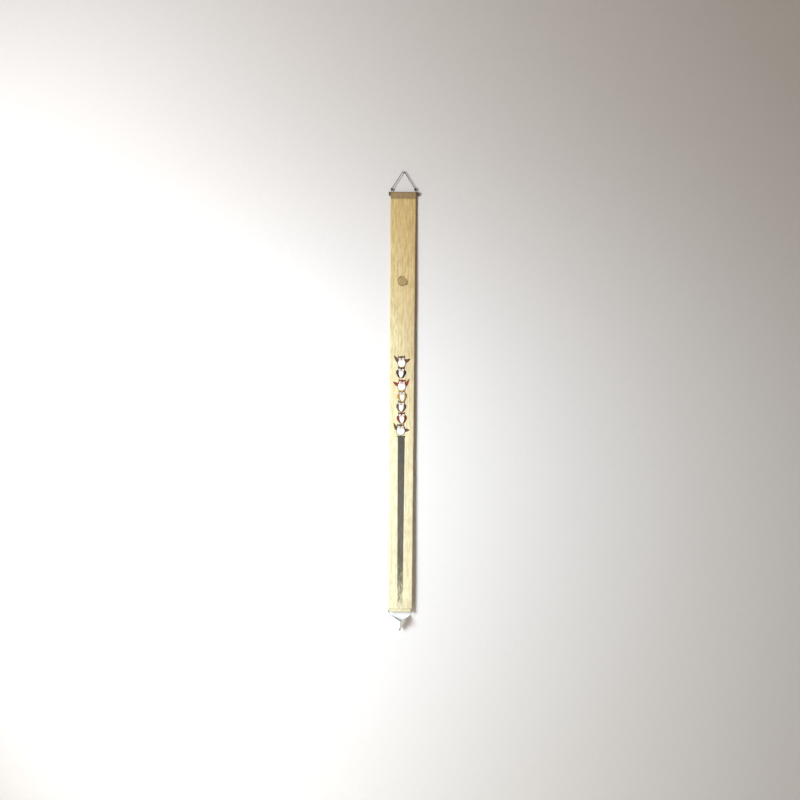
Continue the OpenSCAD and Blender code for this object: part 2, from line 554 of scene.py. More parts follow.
@dataclass(frozen=True)
class Pigment:
    """Pigment brushed on linen, with the weave showing through it."""

    name: str
    colour: Colour
    thin: Colour

    def material(self) -> bpy.types.Material:
        """Builds the material.

        Returns:
            The material.
        """
        g = Graph(self.name)
        brushed = g.noise(g.weave((420.0, 300.0, 1.0)), 3.0, 0.6)
        weft = g.noise(g.weave((1300.0, 1300.0, 1.0)), 2.0, 0.5)
        mask = (0.65 * brushed + 0.35 * weft).step(0.38, 0.66)
        return g.finish(
            Base_Color=g.mix(mask, self.colour, self.thin),
            Roughness=0.86 - 0.1 * mask,
            Normal=g.bump(weft, 0.1 * MM, 0.5),
            Specular_IOR_Level=0.25,
        )


@dataclass(frozen=True)
class Wash:
    """The moon's gold wash: mottled, and darker round its rim."""

    name: str
    middle: Point
    radius: float
    colour: Colour = (0.36, 0.23, 0.075)
    rim: Colour = (0.25, 0.15, 0.05)

    def material(self) -> bpy.types.Material:
        """Builds the material.

        Returns:
            The material.
        """
        g = Graph(self.name)
        across, along, _ = g.parts(g.weave((1.0, 1.0, 1.0)))
        dx, dz = across - self.middle[0], along - self.middle[2]
        reach = (dx * dx + dz * dz) / self.radius**2
        mottle = g.noise(g.weave((150.0, 150.0, 1.0)), 4.0, 0.6)
        weft = g.noise(g.weave((1300.0, 1300.0, 1.0)), 2.0, 0.5)
        edge = (reach + 0.7 * mottle).step(0.95, 1.30)
        return g.finish(
            Base_Color=g.mix(0.35 + 0.65 * edge, self.colour, self.rim),
            Roughness=0.85 - 0.15 * mottle,
            Normal=g.bump(weft, 0.1 * MM, 0.5),
            Alpha=0.20 + 0.17 * edge - 0.12 * mottle.step(0.45, 0.7),
            Specular_IOR_Level=0.25,
        )


@dataclass(frozen=True)
class DryBrush:
    """One long grey brush stroke that runs dry towards its foot."""

    name: str
    top: float
    foot: float
    dark: Colour = (0.072, 0.069, 0.057)
    warm: Colour = (0.22, 0.19, 0.15)

    def material(self) -> bpy.types.Material:
        """Builds the material.

        Returns:
            The material.
        """
        g = Graph(self.name)
        across, along, _ = g.parts(g.weave((1.0, 1.0, 1.0)))
        hair = g.noise(g.weave((820.0, 7.0, 1.0)), 3.0, 0.65)
        patch = g.noise(g.weave((130.0, 32.0, 1.0)), 3.0, 0.6)
        weft = g.noise(g.weave((1300.0, 1300.0, 1.0)), 2.0, 0.5)
        run = (self.top - along) / (self.top - self.foot)
        dry = run.step(0.25, 1.30)
        ink = 0.45 * hair + 0.42 * patch + 0.13 * weft
        cover = (ink - (0.10 + 0.46 * dry)) / 0.24
        thin = run.step(0.58, 0.80)
        tone = (0.5 * hair + 0.5 * patch).step(0.35, 0.68)
        pale = (0.65 * run + 0.45 * tone).clamped()
        return g.finish(
            Base_Color=g.mix(pale, self.dark, self.warm),
            Roughness=0.82 - 0.1 * tone,
            Normal=g.bump(weft, 0.1 * MM, 0.5),
            Alpha=cover.clamped() * (0.96 - 0.25 * thin) * (1.0 - run.step(0.95, 1.02)),
            Specular_IOR_Level=0.3,
        )


# --------------------------------------------------------------------------- mesh work


def finished(
    bm: bmesh.types.BMesh,
    name: str,
    materials: Sequence[bpy.types.Material],
    slot: Slot,
    crease: float = 40.0,
) -> bpy.types.Object:
    """Makes an object of a mesh, smooth but for its sharp edges.

    Args:
        bm: The mesh, which is freed.
        name: The piece's name.
        materials: Its materials, in the order of its faces' indices.
        slot: Not used.
        crease: The angle in degrees past which an edge stays sharp.

    Returns:
        The object, in the scene.
    """
    for face in bm.faces:
        face.smooth = True
    for edge in bm.edges:
        if len(edge.link_faces) == 2:
            edge.smooth = edge.calc_face_angle(0.0) < math.radians(crease)
    mesh = bpy.data.meshes.new(name)
    bm.to_mesh(mesh)
    bm.free()
    for material in materials:
        mesh.materials.append(material)
    made = bpy.data.objects.new(name, mesh)
    bpy.context.scene.collection.objects.link(made)
    LOG.info("%s: %d faces", name, len(mesh.polygons))
    return made


def thickened(made: bpy.types.Object, thickness: float) -> bpy.types.Object:
    """Gives a sheet its thickness, half on each side.

    Args:
        made: The sheet.
        thickness: Its thickness.

    Returns:
        The same object.
    """
    solid = made.modifiers.new("thickness", "SOLIDIFY")
    solid.thickness = thickness
    solid.offset = 0.0
    return made


def woven_grid(
    columns: int,
    rows: int,
    size: tuple[float, float],
    place: Callable[[float, float], Spot],
) -> bmesh.types.BMesh:
    """A sheet of cloth cells.

    Args:
        columns: The cells across.
        rows: The cells along.
        size: The sheet's width and length in metres.
        place: Takes a cell corner's distance across and along from the sheet's middle, and
            gives its point and its coordinates in the weave.

    Returns:
        The mesh, with its weave coordinates.
    """
    bm = bmesh.new()
    bmesh.ops.create_grid(bm, x_segments=columns, y_segments=rows, size=0.5)
    layer = bm.loops.layers.uv.new(WEAVE_MAP)
    spots = {}
    for vert in bm.verts:
        point, weave = place(vert.co.x * size[0], vert.co.y * size[1])
        spots[vert] = (point, weave)
    for face in bm.faces:
        for loop in face.loops:
            loop[layer].uv = spots[loop.vert][1]
    for vert, (point, _) in spots.items():
        vert.co = point
    return bm


def next_ring(
    bm: bmesh.types.BMesh, ring: list[bmesh.types.BMVert]
) -> list[bmesh.types.BMVert]:
    """Extrudes a closed ring of points.

    Args:
        bm: The mesh.
        ring: The ring's points in order.

    Returns:
        The new ring, in the same order.
    """
    count = len(ring)
    edges = [bm.edges.get((ring[i], ring[(i + 1) % count])) for i in range(count)]
    made = bmesh.ops.extrude_edge_only(bm, edges=edges)["geom"]
    fresh = {item for item in made if isinstance(item, bmesh.types.BMVert)}
    return [
        next(
            edge.other_vert(vert)
            for edge in vert.link_edges
            if edge.other_vert(vert) in fresh
        )
        for vert in ring
    ]


def loft(
    bm: bmesh.types.BMesh, rings: Sequence[Sequence[Vector]], weave: bool = True
) -> None:
    """Skins rings of points, each as long as the first, and caps both ends.

    Args:
        bm: The mesh that the skin is added to.
        rings: The rings, from one end to the other.
        weave: Whether the skin gets coordinates round and along it.
    """
    count = len(rings[0])
    made = bmesh.ops.create_circle(bm, segments=count, radius=1.0)
    ring = made["verts"]
    spots = {}
    travelled = 0.0
    first = ring
    for index, points in enumerate(rings):
        if index:
            ring = next_ring(bm, ring)
            middle = sum((Vector(p) for p in points), Vector()) / count
            before = sum((Vector(p) for p in rings[index - 1]), Vector()) / count
            travelled += max((middle - before).length, 1e-6)
        for step, (vert, point) in enumerate(zip(ring, points)):
            vert.co = point
            spots[vert] = (step, travelled)
    faces = {face for vert in spots for face in vert.link_faces}
    bm.faces.new(list(reversed(first)))
    bm.faces.new(ring)
    if weave:
        layer = bm.loops.layers.uv.get(WEAVE_MAP) or bm.loops.layers.uv.new(WEAVE_MAP)
        around = (Vector(rings[0][1]) - Vector(rings[0][0])).length
        for face in faces:
            wraps = {spots[v][0] for v in face.verts} == {0, count - 1}
            for loop in face.loops:
                step, along = spots[loop.vert]
                step = count if wraps and step == 0 else step
                loop[layer].uv = (step * around, along)
    bmesh.ops.recalc_face_normals(bm, faces=bm.faces)


def frames_along(path: Sequence[Vector]) -> list[tuple[Vector, Vector, Vector]]:
    """Finds directions across a path that don't twist along it.

    Args:
        path: The path's points.

    Returns:
        For each point, the point and two directions across the path.
    """
    made = []
    start = (path[1] - path[0]).normalized()
    across = Vector((0, 1, 0)) if abs(start.y) < 0.9 else Vector((1, 0, 0))
    for index, point in enumerate(path):
        ahead = path[min(index + 1, len(path) - 1)] - path[max(index - 1, 0)]
        ahead.normalize()
        across = (across - ahead * across.dot(ahead)).normalized()
        made.append((point, across.copy(), ahead.cross(across)))
    return made


def resampled(route: Sequence[Sequence[float]], step: float) -> list[Vector]:
    """Draws a smooth line through a route's points.

    Args:
        route: The points that the line goes through.
        step: About how far apart the line's own points are.

    Returns:
        The line's points.
    """
    points = [Vector(p) for p in route]
    ends = [2 * points[0] - points[1], *points, 2 * points[-1] - points[-2]]
    line = []
    for a, b, c, d in zip(ends, ends[1:], ends[2:], ends[3:]):
        pieces = max(1, round((c - b).length / step))
        for i in range(pieces):
            t = i / pieces
            spot = 2 * b + (c - a) * t + (2 * a - 5 * b + 4 * c - d) * t * t
            line.append(0.5 * (spot + (3 * b - a - 3 * c + d) * t**3))
    line.append(points[-1])
    return line


def length_of(path: Sequence[Vector]) -> float:
    """The length of a line of points."""
    return sum((b - a).length for a, b in zip(path, path[1:]))


@dataclass(frozen=True)
class Rope:
    """A laid cord: round strands twisted round each other, drawn as one ribbed skin."""

    diameter: float
    strands: int = 3
    lay: float = 8.5 * MM
    groove: float = 0.17
    sides: int = 18

    def add(self, bm: bmesh.types.BMesh, path: Sequence[Vector]) -> None:
        """Adds the cord to a mesh.

        Args:
            bm: The mesh.
            path: The line that the cord follows.
        """
        radius = self.diameter / 2
        rings = []
        travelled = 0.0
        before = path[0]
        for point, across, up in frames_along(path):
            travelled += (point - before).length
            before = point
            twist = 2 * math.pi * travelled / self.lay
            ring = []
            for side in range(self.sides):
                angle = 2 * math.pi * side / self.sides
                lobe = abs(math.cos(self.strands / 2 * (angle - twist)))
                reach = radius * (1 - self.groove + self.groove * lobe)
                ring.append(
                    point
                    + reach * (math.cos(angle) * across + math.sin(angle) * up)
                )
            rings.append(ring)
        loft(bm, rings)


def helix(
    centre: Vector, radius: float, height: float, turns: float, per_turn: int = 26
) -> list[Vector]:
    """A coil about a vertical axis.

    Args:
        centre: Its middle.
        radius: Its radius.
        height: Its height.
        turns: How often it goes round.
        per_turn: Its points for each turn.

    Returns:
        Its points, from its bottom to its top.
    """
    steps = round(per_turn * turns)
    made = []
    for i in range(steps + 1):
        share = i / steps
        a = 2 * math.pi * turns * share
        spot = (radius * math.cos(a), radius * math.sin(a), height * (share - 0.5))
        made.append(centre + Vector(spot))
    return made


def arc(
    centre: Vector,
    radius: float,
    first: Vector,
    second: Vector,
    start: float,
    end: float,
    steps: int = 40,
) -> list[Vector]:
    """An arc in the plane of two directions.

    Args:
        centre: Its centre.
        radius: Its radius.
        first: The direction of 0 degrees.
        second: The direction of 90 degrees.
        start: The angle in degrees where it starts.
        end: The angle where it ends.
        steps: Its pieces.

    Returns:
        Its points.
    """
    made = []
    for i in range(steps + 1):
        a = math.radians(start + (end - start) * i / steps)
        made.append(centre + radius * (math.cos(a) * first + math.sin(a) * second))
    return made


def turned(
    profile: Sequence[tuple[float, float]], axis: Vector, centre: Vector, steps: int = 48
) -> bmesh.types.BMesh:
    """A turned piece.

    Args:
        profile: Radius against length along the axis, from axis to axis.
        axis: The direction of the length.
        centre: Where length 0 is.
        steps: The faces round it.

    Returns:
        The closed mesh.
    """
    across = axis.orthogonal().normalized()
    bm = bmesh.new()
    verts = [bm.verts.new(centre + r * across + s * axis) for r, s in profile]
    edges = [bm.edges.new(pair) for pair in zip(verts, verts[1:])]
    bmesh.ops.spin(
        bm,
        geom=verts + edges,
        cent=centre,
        axis=axis,
        angle=2 * math.pi,
        steps=steps,
        use_merge=True,
    )
    bmesh.ops.remove_doubles(bm, verts=bm.verts, dist=0.01 * MM)
    bmesh.ops.recalc_face_normals(bm, faces=bm.faces)
    return bm


def middle_of(node: str) -> Vector:
    """The middle of a CAD node's box."""
    low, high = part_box(node)
    return (low + high) / 2


def pivot_of(name: str) -> Vector:
    """A joint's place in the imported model."""
    found = next(j for j in frame["joints"] if j["name"] == name)
    return Vector(found["pos_m"])


def dress(node: str, material: bpy.types.Material) -> None:
    """Gives a CAD node that stays in view its material.

    Args:
        node: The node.
        material: The material.
    """
    mesh = frame["nodes"][node].data
    mesh.materials.clear()
    mesh.materials.append(material)
    LOG.info("%s: dressed", node)


# --------------------------------------------------------------------------- hanging cord


@dataclass
class Hanger:
    """The black cord over the nail, and its two knots at the screw eyes."""

    diameter: float = 2.4 * MM
    tight: float = 2.0 * MM
    tight_lay: float = 6.0 * MM
    loop_radius: float = 2.0 * MM
    knot_height: float = 5.6 * MM
    wrap_radius: float = 3.0 * MM
    wrap_turns: float = 2.9
    finish: Yarn = Yarn("black cord", (0.014, 0.013, 0.012), (0.045, 0.040, 0.034))

    # The left half of the route, from the knot to the nail
    HALF = (
        (-0.046, 0, -0.065),
        (-0.0405, 0, -0.0566),
        (-0.0351, 0, -0.0483),
        (-0.0296, 0, -0.0399),
        (-0.0241, 0, -0.0315),
        (-0.0186, 0, -0.0232),
        (-0.0132, 0, -0.0148),
        (-0.0088, 0, -0.0081),
        (-0.0042, 0, -0.0011),
        (-0.0031, 0, 0.0001),
        (-0.0016, 0, 0.0009),
    )
    TOP = (0.0, 0.0, 0.0012)

    # The cord's cut end, from a knot's middle outwards, in millimetres
    TAIL = ((2.4, -0.6, 1.0), (3.6, -1.2, 0.1), (4.2, -1.7, -2.0))

    def route(self) -> list[Point]:
        """The whole route over the nail, from knot to knot."""
        other = [(-x, y, z) for x, y, z in reversed(self.HALF)]
        return [*self.HALF, self.TOP, *other]

    def build(self) -> None:
        """Builds the cord and its knots."""
        material = self.finish.material()
        path = resampled(self.route(), 0.6 * MM)
        bm = bmesh.new()
        Rope(self.diameter).add(bm, path)
        cord = finished(bm, "hanging_cord_laid", [material], Slot.BLACK_CORD, 60.0)
        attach(cord, Body.HANGER.value)
        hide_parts("hanging_cord")
        knots = [self._knot(side, material) for side in Side]
        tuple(self.route()[0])
        length_of(path)

    def _knot(self, side: Side, material: bpy.types.Material) -> bpy.types.Object:
        """One knot: the loop through the screw eye, the wraps above it, and the cut end.

        Args:
            side: Which knot.
            material: Its material.

        Returns:
            The piece.
        """
        node = f"cord_knot_{side.word}"
        low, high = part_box(node)
        x = (low.x + high.x) / 2
        loop = Vector((x, 0.0, low.z + self.tight / 2 + self.loop_radius))
        knot = Vector((x, 0.0, high.z - self.knot_height / 2))
        rope = Rope(self.tight, lay=self.tight_lay, sides=12)
        right, up = Vector((1, 0, 0)), Vector((0, 0, 1))
        bm = bmesh.new()
        rope.add(bm, arc(loop, self.loop_radius, right, up, 112, 428))
        height = self.knot_height - self.tight
        rope.add(bm, helix(knot, self.wrap_radius, height, self.wrap_turns))
        core = [knot + up * share * height / 2 for share in (-1.35, -0.5, 0.5, 1.1)]
        Rope(2 * self.wrap_radius, lay=9.0 * MM, groove=0.1).add(bm, core)
        tail = [knot + MM * Vector((side.value * x, y, z)) for x, y, z in self.TAIL]
        rope.add(bm, resampled(tail, 0.5 * MM))
        made = finished(bm, f"{node}_tied", [material], Slot.BLACK_CORD, 60.0)
        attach(made, Body.HANGER.value)
        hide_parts(node)
        return made


# --------------------------------------------------------------------------- the cloth


@dataclass
class Drape:
    """How the strip hangs: it sways a little, and its edges aren't quite straight."""

    top: float
    foot: float
    half_width: float
    thickness: float = 0.9 * MM
    sway: float = 1.1 * MM
    twist: float = 0.7 * MM
    bow: float = 2.6 * MM
    waver: float = 0.7 * MM
    settle: float = 0.08

    def bulge(self, x: float, z: float) -> float:
        """How far the strip's middle layer stands back at a place.

        Args:
            x: The place across.
            z: Its height.

        Returns:
            The place's Y.
        """
        calm = min(1.0, (self.top - z) / self.settle, (z - self.foot) / self.settle)
        calm = max(0.0, calm)
        calm = calm * calm * (3 - 2 * calm)
        side = x / self.half_width
        wave = self.sway * math.sin(2 * math.pi * (z + 0.31) / 0.93)
        lean = self.twist * side * math.sin(2 * math.pi * (z + 0.05) / 0.78)
        run = (self.top - z) / (self.top - self.foot)
        bow = self.bow * math.sin(1.12 * math.pi * run) * (1 - side * side)
        return calm * (wave + lean - bow)

    def edge(self, x: float, z: float) -> float:
        """X at a place, with the woven edge's slight waver.

        Args:
            x: The place across.
            z: Its height.

        Returns:
            The wavering X.
        """
        side = x / self.half_width
        waver = noise.noise(Vector((3.7 * side, 9.0 * z, 0.4)))
        return x + self.waver * waver * side * side

    def point(self, x: float, z: float, lift: float = 0.0) -> Vector:
        """A point on the strip, lifted towards the front."""
        return Vector((self.edge(x, z), self.bulge(x, z) - lift, z))

    @property
    def front(self) -> float:
        """The lift of the cloth's front face."""
        return self.thickness / 2


@dataclass(frozen=True)
class Casing:
    """One casing: the strip's end taken round a rod and sewn flat to itself.

    The radius is that of the cloth's middle layer. The neck is the flat length from the seam
    to where the cloth opens round the rod, and the seam lies above the rod where upward is 1
    and below it where it is -1.
    """

    node: str
    rod: str
    body: Body
    radius: float
    neck: float
    set_in: float
    upward: int
    half_gap: float = 0.55 * MM


@dataclass
class Strip:
    """The linen strip, its two casings, its side hems and all its stitches."""

    drape: Drape
    fold: Vector
    over_rod: Casing = Casing(
        "top_casing", "top_rod", Body.TOP_BAR, 7.3 * MM, 4.5 * MM, 0.0, -1
    )
    round_hem: Casing = Casing(
        "bottom_casing", "bottom_rod", Body.CLOTH_BOTTOM, 3.85 * MM, 1.6 * MM, 6.0 * MM, 1
    )
    bend: float = 0.07
    cell: float = 4.0 * MM
    row: float = 6.0 * MM
    hem_width: float = 6.0 * MM
    hem_layer: float = 0.8 * MM
    hem_weave: float = 0.2
    casing_space: float = 1.0 * MM
    casing_layer: float = 0.9 * MM
    stitch: float = 2.6 * MM
    stitch_pitch: float = 4.4 * MM
    thread: float = 0.42 * MM
    seam_face: float = 1.02 * MM
    cloth: Linen = Linen("linen")
    # Painted shade: the casings' linen is a darker copy of the strip's, for the shade round the
    # rods
    casing_shade_linen: Linen = Linen(
        "casing linen with painted shade", (0.37, 0.27, 0.14), (0.80, 0.74, 0.51)
    )
    sewing: Yarn = Yarn("sewing thread", (0.40, 0.28, 0.13), (0.62, 0.46, 0.24))

    def build(self) -> None:
        """Builds the strip and everything sewn to it."""
        linen = self.cloth.material()
        # The casings' linen, darkened as painted shade
        casing_shade_linen = self.casing_shade_linen.material()
        thread = self.sewing.material()
        strip = self._strip(linen)
        hems = [self._side_hem(side, linen) for side in Side]
        rows = [self._side_stitches(side, thread) for side in Side]
        casings = (self.over_rod, self.round_hem)
        sewn = [self._casing(casing, casing_shade_linen) for casing in casings]
        seams = [self._seam_stitches(casing, thread) for casing in casings]

    def blend(self, piece: bpy.types.Object) -> None:
        """Bakes a piece's place on the strip into its mesh.

        Args:
            piece: The piece.
        """
        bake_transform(piece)

    def _strip(self, material: bpy.types.Material) -> bpy.types.Object:
        """The strip itself, from seam to seam.

        Args:
            material: Its cloth.

        Returns:
            The piece.
        """
        d = self.drape
        length = d.top - d.foot
        middle = (d.top + d.foot) / 2

        def place(across: float, along: float) -> Spot:
            """Puts a corner on the hanging strip."""
            z = middle + along
            return d.point(across, z), (across, z)

        bm = woven_grid(
            round(2 * d.half_width / self.cell),
            round(length / self.row),
            (2 * d.half_width, length),
            place,
        )
        made = finished(bm, "linen_strip", [material], Slot.LINEN)
        self.blend(made)
        thickened(made, d.thickness)
        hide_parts("cloth_upper", "cloth_lower")
        return made

    def _side_hem(self, side: Side, material: bpy.types.Material) -> bpy.types.Object:
        """The narrow turned-under hem behind one edge.

        Args:
            side: Which edge.
            material: Its cloth.

        Returns:
            The piece.
        """
        d = self.drape
        length = d.top - d.foot
        middle = (d.top + d.foot) / 2
        centre = side.value * (d.half_width - self.hem_width / 2)

        def place(across: float, along: float) -> Spot:
            """Puts a corner behind the strip, a little crowned across the hem."""
            z = middle + along
            x = centre + across
            crown = 0.2 * MM * math.cos(math.pi * across / self.hem_width)
            return d.point(x, z, -d.thickness - crown), (x + self.hem_weave, z)

        bm = woven_grid(4, round(length / self.row), (self.hem_width, length), place)
        made = finished(bm, f"side_hem_{side.word}", [material], Slot.LINEN)
        self.blend(made)
        thickened(made, self.hem_layer)
        return made

    def _stitch(self, bm: bmesh.types.BMesh, centre: Vector, along: Vector) -> None:
        """Adds one stitch: a short thread that dips at both ends.

        Args:
            bm: The mesh that it is added to.
            centre: Its middle.
            along: Its direction.
        """
        turn = Vector((0, 0, 1)).rotation_difference(along).to_matrix().to_4x4()
        made = bmesh.ops.create_uvsphere(
            bm, u_segments=6, v_segments=5, radius=1.0, calc_uvs=False
        )["verts"]
        scale = Matrix.Diagonal(
            (self.thread / 2, self.thread / 2, self.stitch / 2, 1.0)
        )
        bmesh.ops.transform(
            bm, matrix=Matrix.Translation(centre) @ turn @ scale, verts=made
        )

    def _weave_threads(self, bm: bmesh.types.BMesh) -> None:
        """Gives stitches the weave coordinates of where they lie.

        Args:
            bm: The stitches' mesh.
        """
        layer = bm.loops.layers.uv.new(WEAVE_MAP)
        for face in bm.faces:
            for loop in face.loops:
                loop[layer].uv = (loop.vert.co.x, loop.vert.co.z)

    def _side_stitches(
        self, side: Side, material: bpy.types.Material
    ) -> bpy.types.Object:
        """The row of stitches down one side hem.

        Args:
            side: Which hem.
            material: The thread's material.

        Returns:
            The piece.
        """
        d = self.drape
        x = side.value * (d.half_width - self.hem_width + 0.8 * MM)
        count = int((d.top - d.foot) / self.stitch_pitch) - 1
        bm = bmesh.new()
        for i in range(count):
            z = d.top - (i + 1) * self.stitch_pitch
            wander = 0.15 * MM * noise.noise(Vector((side.value, 40.0 * z, 0.0)))
            at = d.point(x + wander, z, d.front + 0.05 * MM)
            self._stitch(bm, at, Vector((0.04 * side.value, 0, 1)).normalized())
        self._weave_threads(bm)
        made = finished(bm, f"side_stitches_{side.word}", [material], Slot.THREAD)
        self.blend(made)
        return made

    def _profile(self, casing: Casing) -> list[Vector]:
        """A casing's profile: down from the seam, round the rod and back to the seam.

        Args:
            casing: The casing.

        Returns:
            The middle layer's points, in the plane across the rod.
        """
        low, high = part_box(casing.node)
        far, seam = (low.z, high.z) if casing.upward > 0 else (high.z, low.z)
        rod = far + casing.upward * (casing.radius + self.casing_space / 2)
        neck = seam - casing.upward * casing.neck
        gap = casing.half_gap
        halfway = (seam + neck) / 2
        toward_seam = Vector((0, 0, casing.upward))
        route = [Vector((0, -gap, seam)), Vector((0, -gap, halfway))]
        route.append(Vector((0, -gap * 1.2, neck)))
        centre = Vector((0, 0, rod))
        front = Vector((0, -1, 0))
        route += arc(centre, casing.radius, toward_seam, front, 48, 312, 36)
        route.append(Vector((0, gap * 1.2, neck)))
        route += [Vector((0, gap, halfway)), Vector((0, gap, seam))]
        return resampled(route, 0.9 * MM)

    def _casing(
        self, casing: Casing, material: bpy.types.Material
    ) -> tuple[bpy.types.Object, float]:
        """Sews one casing.

        Args:
            casing: The casing.
            material: Its cloth.

        Returns:
            The piece, and the length of its cloth round the rod.
        """
        path = self._profile(casing)
        seam = path[0].z
        around = length_of(path)
        half = self.drape.half_width - casing.set_in
        reach = [0.0]
        for a, b in zip(path, path[1:]):
            reach.append(reach[-1] + (b - a).length)

        def spot(along: float) -> tuple[Vector, Vector]:
            """Finds a place on the profile.

            Args:
                along: The distance along the profile.

            Returns:
                The point, and the way out of the cloth.
            """
            index = 0
            while index < len(reach) - 2 and reach[index + 1] < along:
                index += 1
            share = (along - reach[index]) / (reach[index + 1] - reach[index])
            point = path[index].lerp(path[index + 1], share)
            ahead = (path[index + 1] - path[index]).normalized()
            return point, Vector((0, -ahead.z, ahead.y))

        def place(across: float, along: float) -> Spot:
            """Puts a corner round the rod, with small puckers between the stitches.

            Args:
                across: The distance from the strip's middle.
                along: The distance from the profile's middle.

            Returns:
                The corner, and its coordinates in the weave.
            """
            point, out = spot(min(max(along + around / 2, 0.0), around))
            near = math.exp(-abs(point.z - seam) / (5 * MM))
            pucker = 0.22 * MM * near * math.sin(2 * math.pi * across / self.stitch_pitch)
            slack = 0.25 * MM * noise.noise(Vector((45 * across, 300 * point.z, 7)))
            moved = point + out * (0.4 * pucker + slack * (1 - near))
            return Vector((across, moved.y, moved.z)), (across, seam + 0.5 + along)

        columns = round(2 * half / (1.1 * MM))
        rows = round(around / (1.2 * MM))
        bm = woven_grid(columns, rows, (2 * half, around), place)
        made = finished(bm, f"{casing.node}_sewn", [material], Slot.LINEN)
        thickened(made, self.casing_layer)
        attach(made, casing.body.value)
        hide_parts(casing.node)
        return made, around

    def _seam_stitches(
        self, casing: Casing, material: bpy.types.Material
    ) -> bpy.types.Object:
        """The stitches that close a casing, on both of its faces.

        Args:
            casing: The casing.
            material: The thread's material.

        Returns:
            The piece.
        """
        node = f"{casing.node}_stitches"
        low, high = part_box(node)
        z = (low.z + high.z) / 2
        count = int((high.x - low.x) / self.stitch_pitch)
        along = Vector((1, 0, 0.05)).normalized()
        bm = bmesh.new()
        for i in range(count + 1):
            x = (i - count / 2) * self.stitch_pitch
            drop = 0.2 * MM * noise.noise(Vector((120 * x, 3.0, z)))
            for y in (-self.seam_face, self.seam_face):
                self._stitch(bm, Vector((x, y, z + drop)), along)
        self._weave_threads(bm)
        made = finished(bm, f"{node}_sewn", [material], Slot.THREAD)
        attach(made, casing.body.value)
        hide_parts(node)
        return made


# --------------------------------------------------------------------------- painting


class Wings(Enum):
    """How a bird holds its wings: for each side, the tip from the belly in millimetres."""

    FOLDED = ((-19.0, -9.0), (19.0, -9.0))
    LEFT_UP = ((-30.0, 27.0), (36.0, 9.0))
    RIGHT_UP = ((-37.0, 10.0), (28.0, 27.0))
    LEFT_UP_LOW = ((-28.0, 28.0), (36.0, -3.0))


@dataclass(frozen=True)
class Bird:
    """One small round bird: its place on the strip, its size and its pigment."""

    x: float
    z: float
    width: float
    wings: Wings
    colour: Colour
    thin: Colour
    lean: float = 0.0


